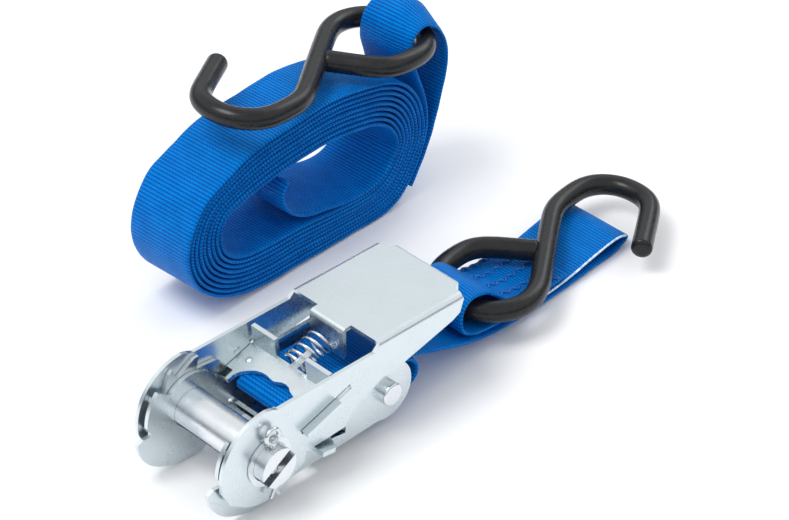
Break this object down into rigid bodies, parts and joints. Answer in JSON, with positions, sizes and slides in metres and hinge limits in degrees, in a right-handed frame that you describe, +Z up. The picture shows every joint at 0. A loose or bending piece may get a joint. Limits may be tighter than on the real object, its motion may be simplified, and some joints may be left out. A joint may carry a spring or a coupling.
{
  "type": "ratchet tie down",
  "caption": "Ratchet tensioner with a short webbing strap and a coiled long strap, each ending in a coated S-hook; the handle, pawls, spindle and hooks move.",
  "frame": {"origin": "centre of the whole object's box, on the ground", "axes": "+X along the ratchet from its spindle towards the grip and the short hook, +Y across the ratchet towards the coiled strap, +Z up"},
  "size_m": [0.1996, 0.1144, 0.0679],
  "materials": {
    "zinc_steel": "bright zinc plated pressings",
    "spring_steel": "bright drawn wire",
    "wheel_steel": "zinc plated, cut edges",
    "hook_steel": "plain bent rod under the coating",
    "webbing": "blue woven polyester webbing",
    "thread": "blue sewing thread",
    "dipped_coating": "dark grey dipped coating"
  },
  "bodies": {
    "base": {"base_frame": "zinc_steel", "fixing_bolt": "zinc_steel", "bolt_far_head": "zinc_steel", "spacer_sleeve": "zinc_steel", "lock_spring": "spring_steel", "short_strap": "webbing", "short_strap_stitching": "thread"},
    "handle": {"handle_frame": "zinc_steel", "drive_spring": "spring_steel"},
    "drive_pawl_body": {"drive_pawl": "zinc_steel"},
    "lock_pawl_body": {"lock_pawl": "zinc_steel"},
    "spindle": {"spindle_bar_upper": "zinc_steel", "spindle_bar_lower": "zinc_steel", "ratchet_wheel_near": "wheel_steel", "ratchet_wheel_far": "wheel_steel", "split_pin_near": "spring_steel", "split_pin_far": "spring_steel", "spindle_washers": "zinc_steel"},
    "short_hook": {"short_hook_rod": "hook_steel", "short_hook_coating": "dipped_coating"},
    "coil": {"long_strap": "webbing", "long_strap_stitching": "thread"},
    "long_hook": {"long_hook_rod": "hook_steel", "long_hook_coating": "dipped_coating"}
  },
  "joints": [
    {"name": "handle_hinge", "type": "hinge", "parent": "base", "child": "handle", "pos_m": [-0.08047, -0.03472, 0.01731], "axis": [0, -1, 0], "range_deg": [0, 165]},
    {"name": "drive_pawl_slide", "type": "slide", "parent": "handle", "child": "drive_pawl_body", "axis": [0.9511, 0, 0.309], "range_m": [0, 0.005], "stiffness_N_per_m": 400, "springref_m": -0.003, "deforming": ["drive_spring"]},
    {"name": "lock_pawl_slide", "type": "slide", "parent": "base", "child": "lock_pawl_body", "axis": [0.9895, 0, -0.1444], "range_m": [0, 0.0032], "stiffness_N_per_m": 400, "springref_m": -0.003, "deforming": ["lock_spring"]},
    {"name": "spindle_spin", "type": "hinge", "parent": "base", "child": "spindle", "pos_m": [-0.08047, -0.03472, 0.01731], "axis": [0, -1, 0], "continuous": true},
    {"name": "short_hook_swing", "type": "hinge", "parent": "base", "child": "short_hook", "pos_m": [0.00833, -0.03242, 0.01251], "axis": [0.0628, -0.998, 0], "range_deg": [0, 14]},
    {"name": "coil_lift", "type": "slide", "parent": "base", "child": "coil", "axis": [0, 0, 1], "range_m": [0, 0.08]},
    {"name": "long_hook_swing", "type": "hinge", "parent": "coil", "child": "long_hook", "pos_m": [0.06453, 0.03998, 0.05361], "axis": [-0.0471, 0.9989, 0], "range_deg": [0, 40]}
  ]
}
